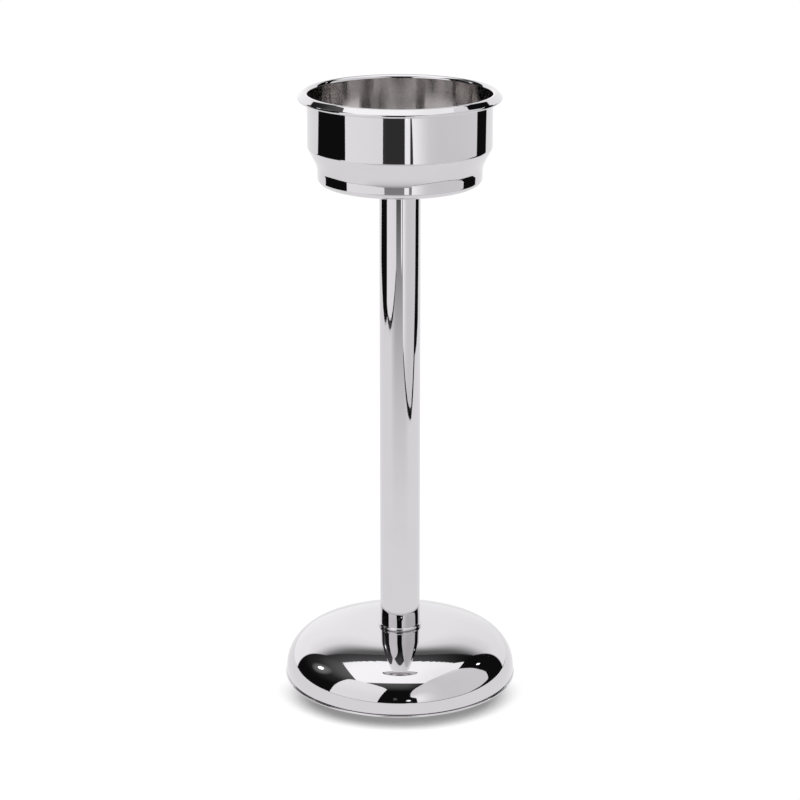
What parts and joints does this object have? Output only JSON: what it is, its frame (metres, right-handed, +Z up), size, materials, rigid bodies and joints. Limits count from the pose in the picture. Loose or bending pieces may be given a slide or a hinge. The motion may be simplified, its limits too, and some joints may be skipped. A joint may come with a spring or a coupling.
{
  "type": "ice bucket stand",
  "caption": "Pedestal stand: a stepped round cup with a beaded rim holds an ice bucket on a straight tubular pole over a weighted, domed foot.",
  "frame": {"origin": "centre of the footprint, on the floor under the rubber ring", "axes": "+Z up along the pole, +X and +Y alike because the stand is round"},
  "size_m": [0.233, 0.233, 0.6],
  "materials": {
    "polished_steel": "mirror-polished stainless steel",
    "satin_steel": "satin stainless steel",
    "plated_fastener": "bright zinc plate",
    "turned_steel": "turned mild steel",
    "cast_weight": "black lacquer over rough casting",
    "black_rubber": "matt black"
  },
  "bodies": {
    "root": {"holder_cup": "polished_steel", "cup_screw": "plated_fastener", "cup_spring_washer": "plated_fastener", "cup_load_plate": "satin_steel", "cup_seal": "black_rubber", "pole_tube": "polished_steel", "pole_top_plug": "turned_steel", "pole_foot_plug": "turned_steel", "foot_ring": "polished_steel", "base_shell": "polished_steel", "base_weight": "cast_weight", "base_plate": "polished_steel", "base_bolt": "plated_fastener", "base_spring_washer": "plated_fastener", "base_washer": "plated_fastener", "floor_ring": "black_rubber"}
  },
  "joints": []
}
